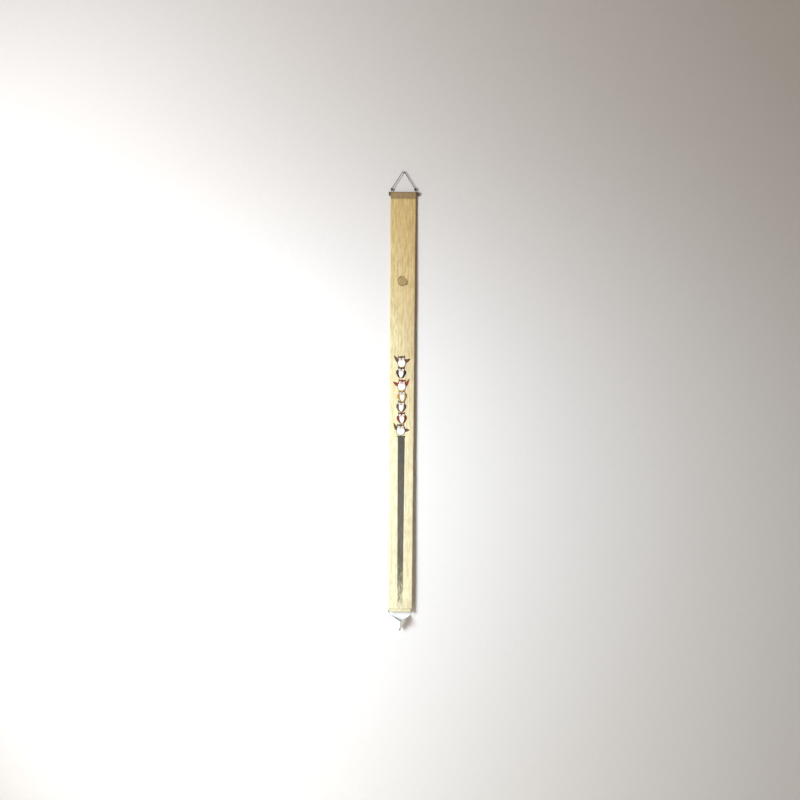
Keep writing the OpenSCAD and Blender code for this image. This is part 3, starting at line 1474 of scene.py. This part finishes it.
@dataclass
class Painting:
    """What is painted on the strip: a moon, seven birds and a long post."""

    strip: Strip
    film: float = 0.06 * MM
    step: float = 0.075 * MM
    moon: Point = (-1.0 * MM, 0.0, -0.4215)
    moon_radius: float = 20.0 * MM
    post_top: float = -1.040
    post_foot: float = -1.757

    BIRDS = (
        Bird(-1.0, -740.5, 36, Wings.LEFT_UP, (0.12, 0.055, 0.025), (0.24, 0.12, 0.07), 4),
        Bird(-3.0, -784.0, 37, Wings.FOLDED, (0.030, 0.022, 0.018), (0.10, 0.065, 0.045), -3),
        Bird(0.0, -835.0, 38, Wings.RIGHT_UP, (0.30, 0.022, 0.014), (0.46, 0.07, 0.04), -5),
        Bird(2.0, -878.5, 34, Wings.FOLDED, (0.50, 0.27, 0.045), (0.62, 0.42, 0.12), 4),
        Bird(-1.5, -920.5, 37, Wings.FOLDED, (0.095, 0.075, 0.055), (0.22, 0.17, 0.13), -2),
        Bird(1.0, -967.0, 37, Wings.FOLDED, (0.17, 0.013, 0.010), (0.34, 0.06, 0.04), 3),
        Bird(-3.0, -1015.0, 40, Wings.LEFT_UP_LOW, (0.11, 0.055, 0.022), (0.24, 0.13, 0.06), 2),
    )

    def build(self) -> None:
        """Paints the strip."""
        self._moon()
        self._post()
        shared = [
            Pigment("ink outline", (0.020, 0.016, 0.014), (0.06, 0.045, 0.035)).material(),
            Pigment("white belly", (0.95, 0.94, 0.90), (0.88, 0.86, 0.79)).material(),
            Pigment("ochre beak", (0.62, 0.32, 0.05), (0.70, 0.45, 0.12)).material(),
            Pigment("pink white", (0.94, 0.84, 0.82), (0.84, 0.70, 0.68)).material(),
        ]
        for number, bird in enumerate(self.BIRDS, start=1):
            self._bird(number, bird, shared)

    def _blot(
        self,
        bm: bmesh.types.BMesh,
        outline: Outline,
        level: int,
        index: int = 0,
        cells: int = 8,
    ) -> None:
        """Adds a filled shape to a mesh, laid on the cloth.

        Args:
            bm: The mesh.
            outline: X and Z in metres at an angle from 0 to a full turn.
            level: Which layer of paint it is, counted from the cloth.
            index: Its material's index.
            cells: The cells along each side of its grid.
        """
        drape = self.strip.drape
        lift = drape.front + self.film + level * self.step
        layer = bm.loops.layers.uv.get(WEAVE_MAP) or bm.loops.layers.uv.new(WEAVE_MAP)
        grid = bmesh.ops.create_grid(bm, x_segments=cells, y_segments=cells, size=1.0)
        made = grid["verts"]
        right, left = outline(0.0), outline(math.pi)
        cx, cz = (right[0] + left[0]) / 2, (right[1] + left[1]) / 2
        for vert in made:
            reach = max(abs(vert.co.x), abs(vert.co.y))
            x, z = outline(math.atan2(vert.co.y, vert.co.x) % (2 * math.pi))
            vert.co = drape.point(cx + reach * (x - cx), cz + reach * (z - cz), lift)
        for face in {face for vert in made for face in vert.link_faces}:
            face.material_index = index
            for loop in face.loops:
                loop[layer].uv = (loop.vert.co.x, loop.vert.co.z)

    def _commit(
        self, bm: bmesh.types.BMesh, name: str, materials: list[bpy.types.Material]
    ) -> bpy.types.Object:
        """Ends a painted piece as a thin film.

        Args:
            bm: Its mesh, which is freed.
            name: The piece's name.
            materials: Its paints, in the order of its faces' indices.

        Returns:
            The piece.
        """
        bm.normal_update()
        turned_back = [f for f in bm.faces if f.normal.y > 0]
        if turned_back:
            bmesh.ops.reverse_faces(bm, faces=turned_back)
        made = finished(bm, name, materials, Slot.PAINT)
        return thickened(made, self.film)

    def _moon(self) -> None:
        """The moon: an uneven round blot with a nick and a small spur."""
        cx, _, cz = self.moon

        def outline(angle: float) -> tuple[float, float]:
            """The blot's edge.

            Args:
                angle: The angle round it.

            Returns:
                X and Z.
            """
            a = math.degrees(angle) % 360.0
            spur = 5.0 * math.exp(-(((a - 328.0) / 20.0) ** 2))
            nick = 3.6 * math.exp(-(((a - 44.0) / 26.0) ** 2))
            waver = 0.8 * math.sin(3 * angle + 1.0) + 0.45 * math.sin(7 * angle)
            reach = self.moon_radius + (spur - nick + waver) * MM
            return cx + reach * math.cos(angle), cz + reach * math.sin(angle)

        bm = bmesh.new()
        self._blot(bm, outline, 0, cells=20)
        wash = Wash("moon wash", self.moon, self.moon_radius).material()
        made = self._commit(bm, "painted_moon", [wash])
        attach(made, Body.CLOTH_TOP.value)

    def _post(self) -> None:
        """The long brush stroke, with a wider head."""
        drape = self.strip.drape
        length = self.post_top - self.post_foot
        middle = (self.post_top + self.post_foot) / 2
        lift = drape.front + self.film

        def place(across: float, along: float) -> Spot:
            """Puts a corner of the stroke on the strip.

            Args:
                across: -1 at the stroke's left edge and 1 at its right edge.
                along: The distance from the stroke's middle.

            Returns:
                The corner, and its coordinates in the weave.
            """
            z = middle + along
            run = (self.post_top - z) / length
            half = 14.2 * MM - 3.0 * MM * run
            half += 4.0 * MM * math.exp(-((run * length / (5.0 * MM)) ** 2))
            ragged = noise.noise(Vector((5.0 * across / MM, 60.0 * z, 2.0)))
            x = across * half + 0.6 * MM * ragged * abs(across) - 0.8 * MM
            return drape.point(x, z, lift), (x, z)

        bm = woven_grid(10, round(length / (4.0 * MM)), (2.0, length), place)
        stroke = DryBrush("dry brush grey", self.post_top, self.post_foot).material()
        made = finished(bm, "painted_post", [stroke], Slot.PAINT)
        self.strip.blend(made)
        thickened(made, self.film)

    def _bird(
        self, number: int, bird: Bird, shared: list[bpy.types.Material]
    ) -> None:
        """One bird, in layers of paint from its outline to its eyes.

        Args:
            number: Its number, from the top.
            bird: The bird.
            shared: The paints that all birds share: ink, white, ochre and pink.
        """
        cx, cz = bird.x * MM, bird.z * MM
        turn = math.radians(bird.lean)

        def local(x: float, z: float) -> tuple[float, float]:
            """A place on the bird in millimetres, as a place on the strip."""
            rx = x * math.cos(turn) - z * math.sin(turn)
            rz = x * math.sin(turn) + z * math.cos(turn)
            return cx + rx * MM, cz + rz * MM

        def oval(
            x: float, z: float, wide: float, high: float, pinch: float = 0.0
        ) -> Outline:
            """An oval.

            Args:
                x: Its middle, in millimetres on the bird.
                z: The same.
                wide: Its width.
                high: Its height.
                pinch: How much narrower it is at its top, as a share of its width.

            Returns:
                Its outline.
            """

            def outline(a: float) -> tuple[float, float]:
                """X and Z at an angle round the oval."""
                narrow = 1.0 - pinch * (1 + math.sin(a)) / 2
                return local(
                    x + wide / 2 * narrow * math.cos(a), z + high / 2 * math.sin(a)
                )

            return outline

        def feather(
            root: tuple[float, float], tip: tuple[float, float], wide: float
        ) -> Outline:
            """A pointed wing or tuft.

            Args:
                root: Where it starts, in millimetres on the bird.
                tip: Where it ends.
                wide: Its width near the root.

            Returns:
                Its outline.
            """
            reach = math.hypot(tip[0] - root[0], tip[1] - root[1])
            ux, uz = (tip[0] - root[0]) / reach, (tip[1] - root[1]) / reach

            def outline(a: float) -> tuple[float, float]:
                """X and Z at an angle round the wing."""
                along = reach * (1 - math.cos(a)) / 2
                side = wide / 2 * math.sin(a) * (1 - 0.75 * along / reach)
                x = root[0] + along * ux - side * uz
                return local(x, root[1] + along * uz + side * ux)

            return outline

        bm = bmesh.new()
        wide = bird.width
        ink, belly, beak, blush, coat = range(5)
        folded = bird.wings is Wings.FOLDED
        # Wings and tufts, then the body, then the face and the feet
        for side, tip in zip((-1, 1), bird.wings.value):
            root = (side * (wide / 2 - 6.0), 8.0 if folded else -3.0)
            broad = 14.0 if folded else 17.0
            self._blot(bm, feather(root, tip, broad + 2.2), 0, ink)
            near = (tip[0] * 0.94 + root[0] * 0.06, tip[1] * 0.94 + root[1] * 0.06)
            self._blot(bm, feather(root, near, broad), 1, coat)
            self._blot(bm, feather((side * 8.0, 15.0), (side * 15.0, 24.0), 9.0), 1, coat)
        self._blot(bm, oval(0, -1, wide + 1.0, 46.8, 0.12), 2, ink, 12)
        self._blot(bm, oval(0, -1, wide - 2.6, 43.6, 0.12), 3, coat, 12)
        if folded:
            self._blot(bm, oval(0, -5.5, 0.36 * wide, 33.0, -0.80), 4, belly, 12)
        else:
            self._blot(bm, oval(0, -5.5, 0.84 * wide, 33.0, 0.04), 4, belly, 12)
        for side in (-1, 1):
            eye = side * 0.185 * wide
            brow = (side * 0.38 * wide, 17.4)
            self._blot(bm, oval(eye, 10.2, 11.4, 11.4), 5, ink)
            self._blot(bm, oval(eye, 10.2, 9.8, 9.8), 6, blush)
            self._blot(bm, oval(eye * 0.86, 9.8, 2.8, 3.2), 7, ink, 4)
            self._blot(bm, feather((side * 1.2, 15.2), brow, 2.6), 7, ink)
            self._blot(bm, oval(side * 4.6, -23.0, 5.6, 3.2), 5, beak, 4)
        self._blot(bm, feather((0.0, 9.6), (0.0, 2.4), 5.2), 8, beak, 4)
        coat_paint = Pigment(f"bird {number} coat", bird.colour, bird.thin).material()
        made = self._commit(bm, f"painted_bird_{number}", [*shared, coat_paint])
        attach(made, Body.CLOTH_TOP.value)


# --------------------------------------------------------------------------- rods, links


@dataclass
class TopBar:
    """The turned top rod and its two screw eyes."""

    rod_radius: float = 6.5 * MM
    knob_radius: float = 7.5 * MM
    knob_length: float = 7.0 * MM
    outer_round: float = 0.8 * MM
    inner_round: float = 0.2 * MM
    wood: Timber = Timber("dark stained rod", (0.050, 0.036, 0.020), (0.15, 0.11, 0.065))
    wire: Steel = Steel("blackened wire", (0.03, 0.028, 0.026), (0.16, 0.15, 0.14), 0.45)

    def build(self) -> None:
        """Turns the rod and dresses the screw eyes."""
        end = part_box("top_rod")[1].x
        reach = self.knob_radius
        knob = end - self.knob_length
        half = [(0.0, end)]
        for a in (math.pi / 2, 1.2, 0.8, 0.4, 0.0):
            drop, back = 1 - math.cos(a), 1 - math.sin(a)
            half.append((reach - self.outer_round * drop, end - self.outer_round * back))
        half.append((reach, knob + self.inner_round))
        half += [(reach - self.inner_round, knob), (self.rod_radius, knob)]
        profile = half + [(r, -s) for r, s in reversed(half)]
        centre = Vector((0, 0, middle_of("top_rod").z))
        bm = turned(profile, Vector((1, 0, 0)), centre)
        material = self.wood.material()
        made = finished(bm, "top_rod_turned", [material], Slot.DARK_WOOD, 30.0)
        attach(made, Body.TOP_BAR.value)
        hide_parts("top_rod")
        wire = self.wire.material()
        for side in Side:
            dress(f"screw_eye_{side.word}", wire)


@dataclass
class HemRod:
    """The thin rod in the bottom casing."""

    wood: Timber = Timber("hem rod wood", (0.45, 0.36, 0.23), (0.64, 0.54, 0.38))

    def build(self) -> None:
        """Dresses the rod."""
        dress("bottom_rod", self.wood.material())


@dataclass
class LinkCords:
    """The two brown cords that hang the weight on the bottom rod."""

    diameter: float = 1.5 * MM
    lay: float = 4.6 * MM
    knot: float = 4.0 * MM
    wrap_turns: float = 2.4
    loop_radius: float = 3.55 * MM
    finish: Yarn = Yarn("brown link cord", (0.24, 0.18, 0.11), (0.46, 0.37, 0.25))

    # The right cord's route, from the knot under the rod to the stop knot
    ROUTE = (
        (0.0466, 0, -1.777),
        (0.045, 0, -1.781),
        (0.0425, 0, -1.787),
        (0.040, 0, -1.793),
        (0.038, 0, -1.798),
        (0.0363, 0, -1.8015),
        (0.034, 0, -1.804),
        (0.031, 0, -1.805),
        (0.027, 0, -1.805),
        (0.023, 0, -1.805),
        (0.019, 0, -1.805),
    )

    def build(self) -> None:
        """Builds both cords with their knots."""
        material = self.finish.material()
        rope = Rope(self.diameter, lay=self.lay, sides=12)
        for side in Side:
            route = [(side.value * x, y, z) for x, y, z in self.ROUTE]
            path = resampled(route, 0.4 * MM)
            bm = bmesh.new()
            rope.add(bm, path)
            name = f"link_cord_{side.word}"
            cord = finished(bm, f"{name}_laid", [material], Slot.TWINE, 60.0)
            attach(cord, Body.LINKS.value)
            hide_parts(name)
            ends = [self._loop(side, rope, material), self._stop(side, rope, material)]
            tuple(route[0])
            length_of(path)

    def _wraps(
        self, bm: bmesh.types.BMesh, rope: Rope, centre: Vector, upright: bool
    ) -> None:
        """Adds the wraps of a small knot.

        Args:
            bm: The mesh that they are added to.
            rope: The cord.
            centre: The knot's middle.
            upright: Whether they go round Z, and not round X.
        """
        height = self.knot - self.diameter
        coil = helix(Vector(), height / 2, height, self.wrap_turns)
        if not upright:
            coil = [Vector((p.z, p.y, p.x)) for p in coil]
        rope.add(bm, [centre + p for p in coil])

    def _loop(
        self, side: Side, rope: Rope, material: bpy.types.Material
    ) -> bpy.types.Object:
        """The loop round the bottom rod, and the knot under it.

        Args:
            side: Which link cord's.
            rope: The cord.
            material: Its material.

        Returns:
            The piece.
        """
        node = f"link_loop_{side.word}"
        x = middle_of(node).x
        centre = Vector((x, 0, middle_of("bottom_rod").z))
        down, front = Vector((0, 0, -1)), Vector((0, -1, 0))
        bm = bmesh.new()
        rope.add(bm, arc(centre, self.loop_radius, down, front, 4, 356, 48))
        knot = Vector((x, 0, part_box(node)[0].z + self.knot / 2))
        self._wraps(bm, rope, knot, True)
        made = finished(bm, f"{node}_tied", [material], Slot.TWINE, 60.0)
        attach(made, Body.LINKS.value)
        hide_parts(node)
        return made

    def _stop(
        self, side: Side, rope: Rope, material: bpy.types.Material
    ) -> bpy.types.Object:
        """The stop knot inside the weight.

        Args:
            side: Which link cord's.
            rope: The cord.
            material: Its material.

        Returns:
            The piece.
        """
        node = f"link_stop_{side.word}"
        bm = bmesh.new()
        self._wraps(bm, rope, middle_of(node), False)
        made = finished(bm, f"{node}_tied", [material], Slot.TWINE, 60.0)
        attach(made, Body.LINKS.value)
        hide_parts(node)
        return made


# --------------------------------------------------------------------------- the weight


@dataclass
class Weight:
    """The hollow three-sided ceramic weight and its steel point."""

    wall: float = 3.0 * MM
    corner: float = 3.0 * MM
    corner_least: float = 0.7 * MM
    lip: float = 1.4 * MM
    foot_round: float = 1.2 * MM
    floor: float = 12.0 * MM
    floor_round: float = 1.5 * MM
    hole_radius: float = 1.7 * MM
    foot_width: float = 14.0 * MM
    collar: float = 1.5 * MM
    nose: float = 0.8 * MM
    stud: float = 1.5 * MM
    unevenness: float = 0.28 * MM
    levels: int = 16
    corner_steps: int = 6
    side_steps: int = 12
    glaze: Glaze = Glaze("white glaze")
    tip: Steel = Steel("dark steel", (0.022, 0.022, 0.024), (0.12, 0.12, 0.12), 0.5)
    plain: Steel = Steel("plain steel", (0.36, 0.36, 0.37), (0.60, 0.60, 0.60), 0.3)

    def build(self) -> None:
        """Builds the weight."""
        shell = self._shell(self.glaze.material())
        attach(shell, Body.WEIGHT.value)
        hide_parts("weight_shell")
        point = self._point(self.tip.material())
        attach(point, Body.WEIGHT.value)
        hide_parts("steel_point")
        dress("point_nut", self.plain.material())

    def _corner(
        self, corners: list[Vector], index: int, inset: float, radius: float
    ) -> list[Vector]:
        """One rounded corner of the weight's outline.

        Args:
            corners: The outline's three sharp corners.
            index: Which corner.
            inset: How far inside the outline it lies.
            radius: The radius that it is rounded with.

        Returns:
            The corner's points.
        """
        before = (corners[index] - corners[index - 1]).normalized()
        after = (corners[(index + 1) % 3] - corners[index]).normalized()
        half = math.acos(max(-1.0, min(1.0, -before.dot(after)))) / 2
        inward = (after - before).normalized()
        centre = corners[index] + inward * (inset + radius) / math.sin(half)
        first = Vector((before.y, -before.x))
        last = Vector((after.y, -after.x))
        if first.dot(inward) > 0:
            first, last = -first, -last
        sweep = first.angle_signed(last)
        made = []
        for step in range(self.corner_steps + 1):
            turn = Matrix.Rotation(-sweep * step / self.corner_steps, 2)
            made.append(centre + radius * (turn @ first))
        return made

    def _ring(self, z: float, inset: float) -> list[Vector]:
        """The weight's rounded outline at a height, drawn in from its outer face.

        Args:
            z: The height.
            inset: How far inside the outer face it lies, measured level.

        Returns:
            The ring's points, always as many.
        """
        low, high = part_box("weight_shell")
        share = self.foot_width / (high.x - low.x)
        scale = share + (1 - share) * (z - low.z) / (high.z - low.z)
        sharp = ((low.x, high.y), (0.0, low.y), (high.x, high.y))
        corners = [Vector(corner) * scale for corner in sharp]
        radius = self.corner * min(1.0, scale * 1.6) - 0.45 * inset
        radius = max(radius, self.corner_least)
        rounded = [self._corner(corners, i, inset, radius) for i in range(3)]
        ring = []
        for index, corner in enumerate(rounded):
            ring += corner
            here, there = corner[-1], rounded[(index + 1) % 3][0]
            for step in range(1, self.side_steps):
                ring.append(here.lerp(there, step / self.side_steps))
        return [Vector((p.x, p.y, z)) for p in ring]

    def _shell(self, glaze: bpy.types.Material) -> bpy.types.Object:
        """The shell: out and up from the foot, over the lip, and down the inside.

        Args:
            glaze: Its material.

        Returns:
            The piece.
        """
        low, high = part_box("weight_shell")
        foot = low.z + self.foot_round
        top = high.z - self.lip
        rings = [self._ring(low.z, 1.0 * MM), self._ring(low.z + 0.35 * MM, 0.3 * MM)]
        for i in range(self.levels + 1):
            rings.append(self._ring(foot + (top - foot) * i / self.levels, 0.0))
        for angle in (30, 60, 90, 120, 150):
            turn = math.radians(angle)
            inset = self.wall / 2 * (1 - math.cos(turn))
            rings.append(self._ring(top + self.lip * math.sin(turn), inset))
        bottom = low.z + self.floor
        inner = bottom + self.floor_round
        for i in range(self.levels + 1):
            rings.append(self._ring(top + (inner - top) * i / self.levels, self.wall))
        rings.append(self._ring(bottom + 0.4 * MM, self.wall + 0.6 * MM))
        rings.append(self._ring(bottom, self.wall + 1.6 * MM))
        bm = bmesh.new()
        loft(bm, rings, weave=False)
        for vert in bm.verts:
            lump = noise.noise_vector(vert.co * 38.0)
            vert.co += Vector((lump.x, lump.y, 0.3 * lump.z)) * self.unevenness
        solid = finished(bm, "weight_shell_thrown", [glaze], Slot.CERAMIC, 50.0)
        return self._drilled(solid)

    def _drilled(self, solid: bpy.types.Object) -> bpy.types.Object:
        """Cuts the two cord holes and the hole for the point's stud.

        Args:
            solid: The shell.

        Returns:
            The same object, drilled.
        """
        low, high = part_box("weight_shell")
        holes = bmesh.new()
        across = Matrix.Translation((0, 0, pivot_of("weight_tilt").z))
        across @= Matrix.Rotation(math.pi / 2, 4, "Y")
        down = Matrix.Translation((0, 0, low.z + self.floor / 2))
        for place, radius, depth in (
            (across, self.hole_radius, high.x - low.x),
            (down, self.hole_radius, self.floor * 1.4),
        ):
            bmesh.ops.create_cone(
                holes,
                cap_ends=True,
                segments=32,
                radius1=radius,
                radius2=radius,
                depth=depth,
                matrix=place,
            )
        tool = finished(holes, "drill", [], Slot.CERAMIC)
        cut = solid.modifiers.new("holes", "BOOLEAN")
        cut.operation = "DIFFERENCE"
        cut.solver = "EXACT"
        cut.object = tool
        graph = bpy.context.evaluated_depsgraph_get()
        drilled = bpy.data.meshes.new_from_object(solid.evaluated_get(graph))
        solid.modifiers.clear()
        solid.data = drilled
        bpy.data.objects.remove(tool)
        return solid

    def _point(self, steel: bpy.types.Material) -> bpy.types.Object:
        """The steel point, with its collar, and its stud up into the shell.

        Args:
            steel: Its material.

        Returns:
            The piece.
        """
        low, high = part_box("steel_point")
        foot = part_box("weight_shell")[0].z
        wide = (high.x - low.x) / 2
        end = foot - low.z
        top = high.z - foot
        profile = [(0.0, top), (self.stud - 0.2 * MM, top), (self.stud, top - 0.3 * MM)]
        profile += [(self.stud, 0.0), (wide - 0.3 * MM, 0.0), (wide, -0.3 * MM)]
        profile += [(wide, -self.collar), (wide - 0.35 * MM, -self.collar - 0.25 * MM)]
        for a in (0.0, 0.35, 0.7, 1.05, 1.35):
            profile.append((self.nose * math.cos(a), self.nose * (1 - math.sin(a)) - end))
        profile.append((0.0, -end))
        bm = turned(profile, Vector((0, 0, 1)), Vector((0, 0, foot)), 40)
        return finished(bm, "steel_point_turned", [steel], Slot.DARK_STEEL, 30.0)


# --------------------------------------------------------------------------- the studio


@dataclass(frozen=True)
class Lamp:
    """A soft light that looks at a point: a square panel, or a round one with a cone."""

    name: str
    place: Point
    aim: Point
    size: float
    power: float
    colour: Colour = (0.93, 0.96, 1.0)
    cone: float | None = None

    def build(self) -> None:
        """Hangs the light up, out of the camera's sight."""
        data = bpy.data.lights.new(self.name, "SPOT" if self.cone else "AREA")
        data.energy = self.power
        data.color = self.colour
        if self.cone:
            data.shadow_soft_size = self.size / 2
            data.spot_size = math.radians(self.cone)
            data.spot_blend = 1.0
        else:
            data.size = self.size
        made = bpy.data.objects.new(self.name, data)
        turn = (Vector(self.aim) - Vector(self.place)).to_track_quat("-Z", "Y")
        made.matrix_world = Matrix.Translation(self.place) @ turn.to_matrix().to_4x4()
        made.visible_camera = False
        bpy.context.scene.collection.objects.link(made)


@dataclass
class Studio:
    """The pale wall and floor, the nail, the lights and the camera."""

    wall_gap: float = 7.9 * MM
    wall_lean: float = 0.0076
    wall_tone: Colour = (0.84, 0.82, 0.80)
    floor_z: float = -2.78
    lens: float = 24.345
    eye: Point = (-0.0069, -2.1766, -0.7412)
    pitch: float = 4.0485
    roll: float = 0.46
    room: Colour = (1.0, 0.74, 0.50)
    room_strength: float = 0.16
    nail_radius: float = 1.3 * MM

    WINDOW = (-2.0, -2.15, -0.5)
    LAMPS = (
        Lamp("window", WINDOW, (-0.7, 0.0, -0.8), 1.1, 74.0),
        Lamp("floor_bounce", (-1.3, -1.4, -2.6), (-0.1, 0.0, -1.3), 1.6, 9.0),
        Lamp("window_low", WINDOW, (0.35, 0.0, -2.3), 1.1, 290.0, (0.78, 0.90, 1.0), 86.0),
    )

    def camera(self) -> None:
        """Sets the camera up in front of the strip's upper middle."""
        data = bpy.data.cameras.new("camera")
        data.sensor_width = 36.0
        data.lens = self.lens
        data.clip_start = 0.05
        data.clip_end = 60.0
        made = bpy.data.objects.new("camera", data)
        turn = Matrix.Rotation(math.radians(90.0 - self.pitch), 4, "X")
        turn @= Matrix.Rotation(math.radians(self.roll), 4, "Z")
        made.matrix_world = Matrix.Translation(self.eye) @ turn
        bpy.context.scene.collection.objects.link(made)
        bpy.context.scene.camera = made

    def build(self) -> None:
        """Builds the room and its lights."""
        self._wall()
        self._floor()
        self._nail()
        self._world()
        for lamp in self.LAMPS:
            lamp.build()
        bpy.context.scene.view_settings.view_transform = "Standard"

    def _plane(self, name: str, size: float, place: Matrix) -> bpy.types.Object:
        """A square plane that isn't part of the object.

        Args:
            name: Its name.
            size: The length of its sides.
            place: Where it lies.

        Returns:
            The plane.
        """
        bm = bmesh.new()
        bmesh.ops.create_grid(bm, x_segments=2, y_segments=2, size=size / 2)
        bmesh.ops.transform(bm, matrix=place, verts=bm.verts)
        mesh = bpy.data.meshes.new(name)
        bm.to_mesh(mesh)
        bm.free()
        made = bpy.data.objects.new(name, mesh)
        bpy.context.scene.collection.objects.link(made)
        return made

    def _wall(self) -> None:
        """The wall behind the hanging, seen only from the room's side."""
        g = Graph("wall paint")
        grain = g.noise(g.place((160.0, 160.0, 160.0)), 3.0, 0.6)
        tone = g.mix(
            grain.step(0.3, 0.7), self.wall_tone, tuple(1.03 * c for c in self.wall_tone)
        )
        paint = g.node(
            "ShaderNodeBsdfPrincipled",
            {},
            {
                "Base Color": tone,
                "Roughness": 0.9,
                "Normal": g.bump(grain, 0.4 * MM, 0.35),
            },
        )
        clear = g.node("ShaderNodeBsdfTransparent", {}, {})
        facing = g.node("ShaderNodeNewGeometry", {}, {})
        both = g.node(
            "ShaderNodeMixShader",
            {},
            {0: facing.outputs["Backfacing"], 1: paint.outputs[0], 2: clear.outputs[0]},
        )
        g.tree.links.new(both.outputs[0], g.output.inputs[0])
        turn = Matrix.Rotation(math.pi / 2 + self.wall_lean, 4, "X")
        wall = self._plane("wall", 12.0, Matrix.Translation((0, self.wall_gap, 0)) @ turn)
        wall.data.materials.append(g.material)

    def _floor(self) -> None:
        """The floor, below the picture."""
        g = Graph("floor paint")
        material = g.finish(Base_Color=(0.80, 0.73, 0.64), Roughness=0.8)
        floor = self._plane("floor", 12.0, Matrix.Translation((0, 0, self.floor_z)))
        floor.data.materials.append(material)

    def _nail(self) -> None:
        """The nail in the wall under the cord."""
        radius, head = self.nail_radius, self.nail_radius + 0.9 * MM
        profile = [(0.0, -4.0 * MM), (head, -4.0 * MM), (head, -3.4 * MM)]
        profile += [(radius, -3.2 * MM), (radius, self.wall_gap), (0.0, self.wall_gap)]
        centre = Vector((0.0, 0.0, -radius - 0.1 * MM))
        bm = turned(profile, Vector((0, 1, 0)), centre, 24)
        steel = Steel("nail steel", (0.30, 0.29, 0.28), (0.5, 0.5, 0.5), 0.4)
        mesh = bpy.data.meshes.new("nail")
        bm.to_mesh(mesh)
        bm.free()
        mesh.materials.append(steel.material())
        made = bpy.data.objects.new("nail", mesh)
        bpy.context.scene.collection.objects.link(made)

    def _world(self) -> None:
        """Warm even light from all round."""
        world = bpy.data.worlds.new("room")
        world.use_nodes = True
        sky = world.node_tree.nodes["Background"]
        sky.inputs["Color"].default_value = (*self.room, 1.0)
        sky.inputs["Strength"].default_value = self.room_strength
        bpy.context.scene.world = world


def main() -> None:
    """Builds the hanging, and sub-assembly by sub-assembly."""
    logging.basicConfig(level=logging.INFO, format="%(name)s: %(message)s")
    studio = Studio()
    studio.camera()
    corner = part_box("cloth_upper")[1]
    drape = Drape(corner.z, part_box("cloth_lower")[0].z, corner.x)
    strip = Strip(drape, pivot_of("cloth_fold"))
    painting = Painting(strip)
    for part in (Hanger(), LinkCords(), strip, painting, TopBar(), HemRod(), Weight()):
        LOG.info("building %s", type(part).__name__)
        part.build()
    studio.build()


if __name__ == "__main__":
    main()
